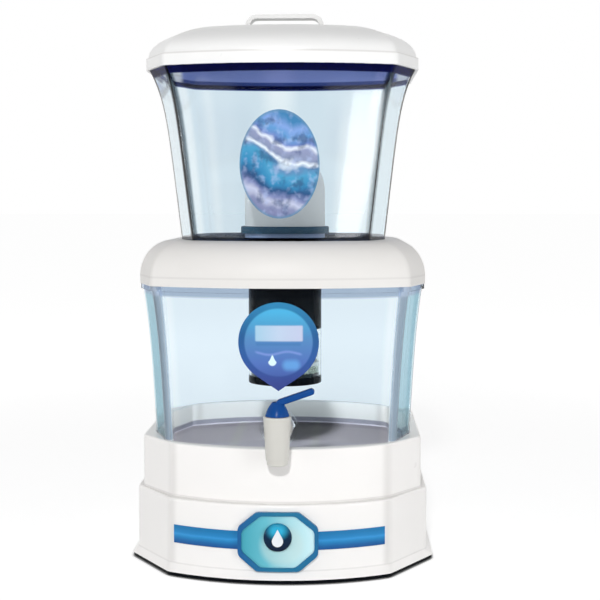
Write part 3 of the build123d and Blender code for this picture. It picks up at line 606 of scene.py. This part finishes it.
def oval_ripples(oval, away, across, up):
    """Blue, white and violet bands that slant, swell and wander over the oval."""
    slope = 0.22
    swell_rate = 3.4
    swell_start = 0.8
    swell_height = 0.10
    wander = 0.9
    middle = 0.275
    slant = oval.math("MULTIPLY_ADD", across, slope, up)
    swell = oval.math("SINE", oval.math("MULTIPLY_ADD", across, swell_rate, swell_start))
    flow = oval.math("MULTIPLY_ADD", swell, swell_height, slant)
    drift = oval.noise(scale=26.0, detail=3.0, place=away)
    flow = oval.math("MULTIPLY_ADD", drift, wander, flow)
    return oval.ramp(oval.math("MULTIPLY_ADD", flow, 0.5, middle), [
        (0.00, (0.16, 0.17, 0.34)),
        (0.12, (0.22, 0.25, 0.42)),
        (0.19, (0.52, 0.56, 0.72)),
        (0.25, (0.20, 0.24, 0.45)),
        (0.31, (0.012, 0.07, 0.20)),
        (0.38, (0.025, 0.22, 0.44)),
        (0.47, (0.06, 0.32, 0.54)),
        (0.52, (0.10, 0.24, 0.44)),
        (0.56, (0.78, 0.86, 0.93)),
        (0.60, (0.22, 0.27, 0.42)),
        (0.67, (0.26, 0.30, 0.48)),
        (0.71, (0.72, 0.78, 0.88)),
        (0.75, (0.14, 0.22, 0.52)),
        (0.83, (0.10, 0.30, 0.60)),
        (0.91, (0.20, 0.34, 0.68)),
        (1.00, (0.04, 0.20, 0.42)),
    ])


def paint_oval():
    """A printed oval: ripples with pale clouds and dark shades, and a darker edge."""
    cloud_color = (0.42, 0.52, 0.78)
    shade_color = (0.015, 0.05, 0.15)
    edge_color = (0.10, 0.24, 0.38)
    cloud_level = 0.60
    shade_level = 0.42
    edge_radius = 0.9575
    oval = smooth("oval_print", 0.4)
    low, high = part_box("oval_label")
    half = (high - low) / 2
    away = oval.print_place((low + high) / 2)
    across = oval.math("DIVIDE", oval.part(away, "X"), half.x)
    up = oval.math("DIVIDE", oval.part(away, "Z"), half.z)
    color = oval_ripples(oval, away, across, up)
    clouds = oval.above(oval.noise(scale=120.0, detail=2.0, place=away), cloud_level, soft=0.12)
    color = oval.lay(cloud_color, color, clouds, strength=0.45)
    shades = oval.below(oval.noise(scale=70.0, detail=3.0, place=away), shade_level, soft=0.08)
    color = oval.lay(shade_color, color, shades, strength=0.65)
    round_place = oval.node("CombineXYZ", {"X": across, "Z": up}).outputs[0]
    edge = oval.above(oval.vector("LENGTH", round_place), edge_radius, soft=0.0275)
    color = oval.lay(edge_color, color, edge, strength=0.7)
    oval.set({"Base Color": oval.mix(oval.facing_back(), color, label_back)})
    paint(oval, "oval_label")


def drop_face(drop, away, level):
    """The middle of the drop label: a pale bar, a wavy line, a patch and a drop of water."""
    patch_color = (0.13, 0.38, 0.76)
    wave_color = (0.26, 0.36, 0.78)
    under_bar_color = (0.05, 0.18, 0.42)
    water_color = (0.70, 0.93, 0.98)
    wave_rate = 190.0
    wave_height = 0.0014
    wave_bottom = -0.0106
    wave_top = -0.0088
    face = drop.ramp(level, [
        (0.0, (0.045, 0.09, 0.34)),
        (0.25, (0.075, 0.16, 0.47)),
        (0.55, (0.08, 0.24, 0.50)),
        (0.75, (0.065, 0.34, 0.60)),
        (0.88, (0.065, 0.42, 0.70)),
    ])
    patch = drop.bar(
        away, across=0.0115, up=-0.0205,
        half_width=0.0075, half_height=0.0045, corner=0.0045, soft=0.003,
    )
    face = drop.lay(patch_color, face, patch, strength=0.8)
    swing = drop.math("SINE", drop.times(drop.part(away, "X"), wave_rate))
    crest = drop.math("MULTIPLY_ADD", swing, -wave_height, drop.part(away, "Z"))
    wave = drop.band(crest, wave_bottom, wave_top, soft=0.0012)
    wave_room = drop.bar(
        away, across=0.0, up=-0.0097,
        half_width=0.0205, half_height=0.0060, corner=0.002, soft=0.002,
    )
    face = drop.lay(wave_color, face, drop.times(wave, wave_room), strength=0.6)
    bar = drop.bar(
        away, across=0.0005, up=0.0082,
        half_width=0.0213, half_height=0.0071, corner=0.0012, soft=0.0009,
    )
    bar_color = drop.ramp(drop.math("MULTIPLY_ADD", drop.part(away, "X"), 23.0, 0.5), [
        (0.0, (0.37, 0.60, 0.76)),
        (0.5, (0.53, 0.64, 0.80)),
        (1.0, (0.55, 0.59, 0.77)),
    ])
    face = drop.lay(bar_color, face, bar, strength=0.92)
    under_bar = drop.bar(
        away, across=0.0, up=-0.0015,
        half_width=0.0200, half_height=0.0014, corner=0.001, soft=0.0012,
    )
    face = drop.lay(under_bar_color, face, under_bar, strength=0.6)
    water = drop.water_drop(away, across=-0.0055, up=-0.0175, radius=0.0036, soft=0.0007)
    return drop.mix(water, face, water_color)


def paint_drop():
    """A printed blue drop with a darker rim."""
    drop = smooth("drop_print", 0.4)
    low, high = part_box("drop_label")
    radius = (high.x - low.x) / 2
    rim_inside = 0.845 * radius
    rim_soft = 0.03 * radius
    away = drop.print_place((axis.x, axis.y, high.z - radius))
    level = drop.math("MULTIPLY_ADD", drop.part(away, "Z"), 0.5 / radius, 0.5)
    rim = drop.ramp(level, [
        (0.0, (0.035, 0.06, 0.27)),
        (0.3, (0.02, 0.09, 0.32)),
        (0.6, (0.012, 0.10, 0.28)),
        (1.0, (0.02, 0.22, 0.43)),
    ])
    edge = drop.above(drop.vector("LENGTH", away), rim_inside, rim_soft)
    color = drop.mix(edge, drop_face(drop, away, level), rim)
    drop.set({"Base Color": drop.mix(drop.facing_back(), color, label_back)})
    paint(drop, "drop_label")


def paint_band():
    """The blue band across the stand, lighter along its middle."""
    band = smooth("band_print", 0.35)
    waver = 0.16
    noise = band.noise(scale=45.0, detail=2.0)
    level = band.math("MULTIPLY_ADD", noise, waver, band.level("Z", "front_band"))
    band.set({"Base Color": band.ramp(level, [
        (0.0, (0.004, 0.07, 0.24)),
        (0.22, (0.004, 0.10, 0.32)),
        (0.45, (0.010, 0.20, 0.48)),
        (0.60, (0.030, 0.29, 0.63)),
        (0.72, (0.012, 0.21, 0.50)),
        (1.0, (0.006, 0.17, 0.40)),
    ])})
    paint(band, "front_band")


def paint_bezel():
    """The badge's dark blue bezel."""
    bezel = smooth("bezel_print", 0.3)
    bezel.set({"Base Color": bezel.ramp(bezel.level("X", "badge_bezel"), [
        (0.0, (0.004, 0.10, 0.30)),
        (0.5, (0.010, 0.17, 0.30)),
        (1.0, (0.006, 0.13, 0.30)),
    ])})
    paint(bezel, "badge_bezel")


def paint_badge():
    """The badge's face, paler to the right and round its button."""
    halo_color = (0.60, 0.76, 0.74)
    face = smooth("badge_print", 0.3)
    color = face.ramp(face.level("X", "badge_face"), [
        (0.0, (0.05, 0.36, 0.46)),
        (0.35, (0.13, 0.50, 0.60)),
        (0.7, (0.42, 0.72, 0.78)),
        (1.0, (0.62, 0.88, 0.93)),
    ])
    halo = face.bar(
        face.print_place(badge_centre), across=0.004, up=-0.008,
        half_width=0.019, half_height=0.017, corner=0.017, soft=0.004,
    )
    face.set({"Base Color": face.lay(halo_color, color, halo, strength=0.45)})
    paint(face, "badge_face")


def paint_button():
    """The badge's round button, with painted shade below and a painted blue highlight above."""
    button_highlight_color = (0.03, 0.42, 0.66)
    button = smooth("badge_button", 0.15, gloss=0.12)
    # Painted highlight on the top of the button
    glow = button.bar(
        button.print_place(badge_centre), across=0.0, up=0.0065,
        half_width=0.0075, half_height=0.0055, corner=0.0055, soft=0.0045,
    )
    # Painted shade and light: the button darkens towards its bottom and pales towards its top
    dark = button.ramp(button.level("Z", "badge_dome"), [
        (0.0, (0.002, 0.008, 0.030)),
        (0.6, (0.001, 0.022, 0.060)),
        (1.0, (0.004, 0.070, 0.150)),
    ])
    button.set({"Base Color": button.mix(glow, dark, button_highlight_color)})
    paint(button, "badge_dome")


def paint_steel():
    """Steel, finely mottled."""
    steel = Finish("steel", {"Metallic": 1.0, "Roughness": 0.3})
    mottle = steel.noise(scale=1800.0, detail=2.0)
    steel.set({"Base Color": steel.mix(mottle, (0.5, 0.5, 0.52), (0.66, 0.66, 0.68))})
    paint(steel, "base_screws", "handle_screws")


def paint_ceramic():
    """Unglazed ceramic, speckled and slightly rough."""
    ceramic = Finish("ceramic", {"Roughness": 0.85})
    specks = ceramic.noise(scale=700.0, detail=4.0)
    ceramic.set({"Base Color": ceramic.mix(specks, (0.52, 0.50, 0.49), (0.64, 0.62, 0.61))})
    ceramic.bump(specks, strength=0.25, distance=0.0004)
    paint(ceramic, "ceramic_dome")


def paint_clear_shell():
    """The clear lower shell of the cartridge."""
    clear = Finish("clear_shell", {"Roughness": 0.03, "IOR": 1.3, "Transmission Weight": 1.0})
    clear.set({"Base Color": shell_clear})
    clear.let_lamps_through(shell_clear)
    paint(clear, "cartridge_clear_shell")


def paint_carbon():
    """Granular carbon."""
    carbon = Finish("carbon", {"Roughness": 0.6})
    grains = carbon.cells(scale=900.0)
    carbon.set({"Base Color": carbon.mix(grains, (0.01, 0.01, 0.01), (0.05, 0.05, 0.05))})
    carbon.bump(grains, strength=0.6, distance=0.0008)
    paint(carbon, "carbon_bed")


def paint_felt():
    """Fuzzy white felt between the beds."""
    felt = Finish("felt", {"Roughness": 0.95, "Sheen Weight": 0.3})
    fuzz = felt.noise(scale=2500.0, detail=5.0)
    felt.set({"Base Color": felt.mix(fuzz, (0.62, 0.62, 0.60), (0.85, 0.85, 0.83))})
    felt.bump(fuzz, strength=0.5, distance=0.0005)
    paint(felt, "separator_pad", "filter_pads")


def ball_mesh():
    """The corners and faces of a small round ball of radius 1."""
    bpy.ops.mesh.primitive_ico_sphere_add(subdivisions=2, radius=1.0)
    ball = bpy.context.object
    points = [vertex.co.copy() for vertex in ball.data.vertices]
    faces = [tuple(polygon.vertices) for polygon in ball.data.polygons]
    bpy.data.objects.remove(ball)
    return points, faces


def scatter(low, high, radius, count):
    """Seeded centres and sizes of stones in a round bed, most of them at its wall."""
    smallest = 0.85
    largest = 1.1
    crowding = 0.25
    closest = 0.9
    tries_each = 60
    tries_left = tries_each * count
    reach = (high.x - low.x) / 2
    placed = []
    while len(placed) < count and tries_left > 0:
        tries_left -= 1
        size = radius * random.uniform(smallest, largest)
        arm = (reach - size) * random.random() ** crowding
        angle = random.uniform(0, 2 * math.pi)
        height = random.uniform(low.z + size, high.z - size)
        centre = Vector((axis.x + arm * math.cos(angle), axis.y + arm * math.sin(angle), height))
        if all((centre - other).length > closest * (size + wide) for other, wide in placed):
            placed.append((centre, size))
    return placed


def stones(name, node, radius, count, finishes):
    """Round stones packed in a bed of the cartridge, in the place of a CAD node."""
    points, faces = ball_mesh()
    low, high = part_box(node)
    vertices = []
    polygons = []
    shades = []
    for centre, size in scatter(low, high, radius, count):
        first = len(vertices)
        vertices.extend(centre + point * size for point in points)
        polygons.extend(tuple(first + corner for corner in face) for face in faces)
        shades.extend([random.randrange(len(finishes))] * len(faces))
    mesh = bpy.data.meshes.new(name)
    mesh.from_pydata(vertices, [], polygons)
    for finish in finishes:
        mesh.materials.append(finish.material)
    for polygon, shade in zip(mesh.polygons, shades):
        polygon.material_index = shade
        polygon.use_smooth = True
    made = bpy.data.objects.new(name, mesh)
    scene.collection.objects.link(made)
    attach(made, "upper_section")
    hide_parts(node)


def fill_cartridge():
    """The beds of mineral stones and of sand that show through the clear shell."""
    dark = moulded("stone_dark", (0.03, 0.03, 0.035), 0.45, 0.2)
    brown = moulded("stone_brown", (0.10, 0.07, 0.05), 0.5, 0.2)
    green = moulded("stone_green", (0.20, 0.27, 0.22), 0.5, 0.2)
    pale = moulded("stone_pale", (0.55, 0.60, 0.52), 0.5, 0.2)
    sandy = moulded("grain_sand", (0.62, 0.66, 0.56), 0.6, 0.2)
    minerals = [dark, dark, brown, green]
    sands = [sandy, pale]
    stones("mineral_balls", "mineral_bed", radius=0.0032, count=420, finishes=minerals)
    stones("sand_grains", "sand_bed", radius=0.0012, count=1500, finishes=sands)


def make_camera():
    """The camera, pitched to the horizon and turned so that the axis falls on its column."""
    camera = bpy.data.objects.new("camera", bpy.data.cameras.new("camera"))
    scene.collection.objects.link(camera)
    camera.data.sensor_width = sensor_width
    camera.data.lens = sensor_width * focal_pixels / image_size
    camera.data.shift_y = camera_shift
    side = math.sin(camera_turn) * camera_distance
    front = math.cos(camera_turn) * camera_distance
    camera.location = (axis.x + side, axis.y - front, camera_height)
    straight_row = image_size * (0.5 + camera_shift)
    pitch = math.atan((straight_row - horizon_row) / focal_pixels)
    yaw = math.atan((image_size / 2 - axis_column) * math.cos(pitch) / focal_pixels)
    camera.rotation_euler = (math.pi / 2 - pitch, 0, camera_turn - yaw)
    scene.camera = camera


def seen_rays(tree):
    """1 for the rays that show a backdrop: straight, mirrored or through clear stuff."""
    rays = tree.nodes.new("ShaderNodeLightPath").outputs
    total = rays["Is Camera Ray"]
    for name in ("Is Glossy Ray", "Is Transmission Ray"):
        larger = tree.nodes.new("ShaderNodeMath")
        larger.operation = "MAXIMUM"
        tree.links.new(total, larger.inputs[0])
        tree.links.new(rays[name], larger.inputs[1])
        total = larger.outputs[0]
    return total


def make_world():
    """A plain grey light all round, which the camera sees as white."""
    world = bpy.data.worlds.new("studio")
    world.use_nodes = True
    scene.world = world
    tree = world.node_tree
    plain = tree.nodes["Background"]
    plain.inputs["Color"].default_value = (ambient, ambient, ambient, 1.0)
    white = tree.nodes.new("ShaderNodeBackground")
    white.inputs["Color"].default_value = (1.0, 1.0, 1.0, 1.0)
    mixed = tree.nodes.new("ShaderNodeMixShader")
    tree.links.new(seen_rays(tree), mixed.inputs[0])
    tree.links.new(plain.outputs[0], mixed.inputs[1])
    tree.links.new(white.outputs[0], mixed.inputs[2])
    tree.links.new(mixed.outputs[0], tree.nodes["World Output"].inputs["Surface"])


def make_floor():
    """A pale floor, dark under the stand, that turns plain white far away."""
    mesh = bpy.data.meshes.new("floor")
    signs = [(-1, -1), (1, -1), (1, 1), (-1, 1)]
    corners = [(floor_reach * x, floor_reach * y, 0) for x, y in signs]
    mesh.from_pydata(corners, [], [(0, 1, 2, 3)])
    floor = bpy.data.objects.new("floor", mesh)
    scene.collection.objects.link(floor)
    paper = Finish("floor_paper", {"Roughness": 0.9, "Specular IOR Level": 0.0})
    seen = seen_rays(paper.tree)
    away = paper.rise(paper.vector("LENGTH", paper.place), floor_near, floor_far)
    glow = paper.math("MULTIPLY_ADD", away, far_glow - near_glow, near_glow)
    open_sky = paper.node("AmbientOcclusion", {"Distance": contact_shadow}).outputs["AO"]
    open_sky = paper.above(open_sky, 0.55, soft=0.20)
    paper.set({
        "Base Color": paper.mix(seen, paper_lit, paper_seen),
        "Emission Color": (1.0, 1.0, 1.0),
        "Emission Strength": paper.times(seen, glow, open_sky),
    })
    mesh.materials.append(paper.material)


def make_lamp(name, azimuth, elevation, distance, width, height, power, mirrored):
    """A soft lamp that looks at the middle of the purifier, mirrored in its gloss or not."""
    target = Vector((axis.x, axis.y, (cad_low.z + cad_high.z) / 2))
    around = math.radians(azimuth)
    up = math.radians(elevation)
    flat = math.cos(up)
    away = Vector((math.sin(around) * flat, -math.cos(around) * flat, math.sin(up)))
    lamp = bpy.data.objects.new(name, bpy.data.lights.new(name, "AREA"))
    lamp.data.shape = "RECTANGLE"
    lamp.data.size = width
    lamp.data.size_y = height
    lamp.data.energy = power
    lamp.location = target + away * distance
    lamp.rotation_mode = "QUATERNION"
    lamp.rotation_quaternion = (-away).to_track_quat("-Z", "Y")
    lamp.visible_camera = False
    lamp.visible_transmission = False
    lamp.visible_glossy = mirrored
    scene.collection.objects.link(lamp)


paint_mouldings()
paint_upper_tank()
paint_lower_tank()
paint_oval()
paint_drop()
paint_band()
paint_bezel()
paint_badge()
paint_button()
paint_steel()
paint_ceramic()
paint_clear_shell()
paint_carbon()
paint_felt()
fill_cartridge()
make_camera()
make_world()
make_floor()
for lamp_name, lamp_row in lamps.items():
    make_lamp(lamp_name, *lamp_row)
scene.view_settings.view_transform = "Standard"
